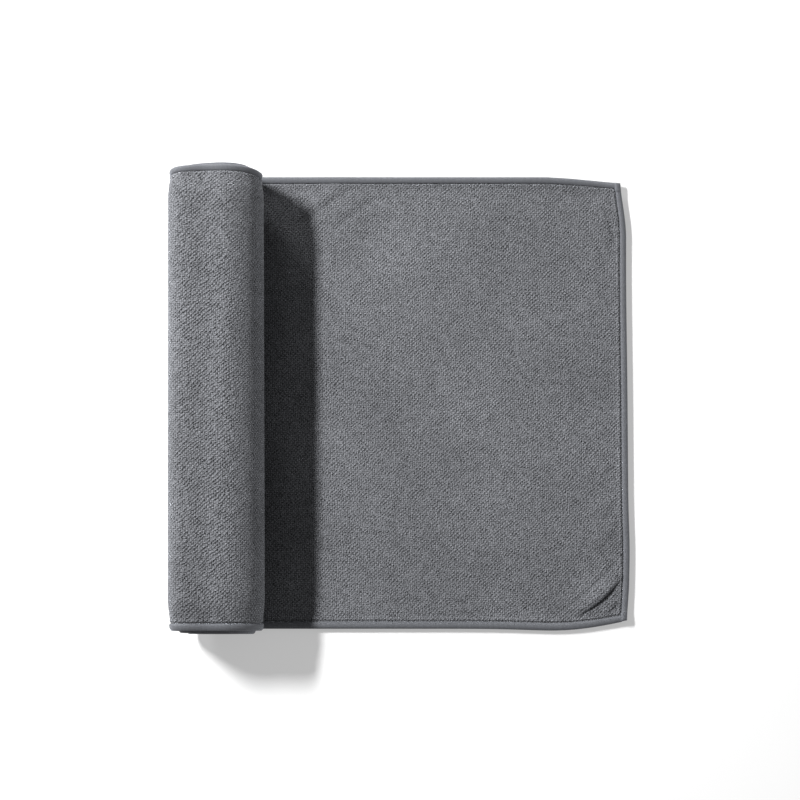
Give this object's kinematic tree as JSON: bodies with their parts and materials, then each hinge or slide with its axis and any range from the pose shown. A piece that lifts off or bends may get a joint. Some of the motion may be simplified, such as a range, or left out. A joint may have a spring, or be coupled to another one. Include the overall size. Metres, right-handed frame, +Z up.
{
  "type": "golf towel",
  "caption": "Microfibre golf towel with bound edges, lying flat with one end rolled up into a loose roll.",
  "frame": {"origin": "centre of the footprint, on the surface that the towel lies on", "axes": "+X along the towel from the roll to the free end, +Y across it to the back edge, +Z up"},
  "size_m": [0.41, 0.4064, 0.0848],
  "materials": {
    "cloth": "grey microfibre in a fine waffle weave, matt with a soft fuzz",
    "binding": "grey folded knit tape with fine cross ribs, matt",
    "thread": "grey polyester sewing thread, faintly glossy"
  },
  "bodies": {
    "rolled_part": {"cloth_rolled": "cloth", "back_binding_rolled": "binding", "back_needle_thread_rolled": "thread", "back_bobbin_thread_rolled": "thread", "front_binding_rolled": "binding", "front_needle_thread_rolled": "thread", "front_bobbin_thread_rolled": "thread", "inner_end_binding": "binding", "inner_end_needle_thread": "thread", "inner_end_bobbin_thread": "thread"},
    "free_part": {"cloth_free": "cloth", "back_binding_free": "binding", "back_needle_thread_free": "thread", "back_bobbin_thread_free": "thread", "front_binding_free": "binding", "front_needle_thread_free": "thread", "front_bobbin_thread_free": "thread", "free_end_binding": "binding", "free_end_needle_thread": "thread", "free_end_bobbin_thread": "thread"}
  },
  "joints": [
    {"name": "free_part_lift", "type": "hinge", "parent": "rolled_part", "child": "free_part", "pos_m": [-0.1, 0, 0.0045], "axis": [0, -1, 0], "range_deg": [0, 90]}
  ]
}
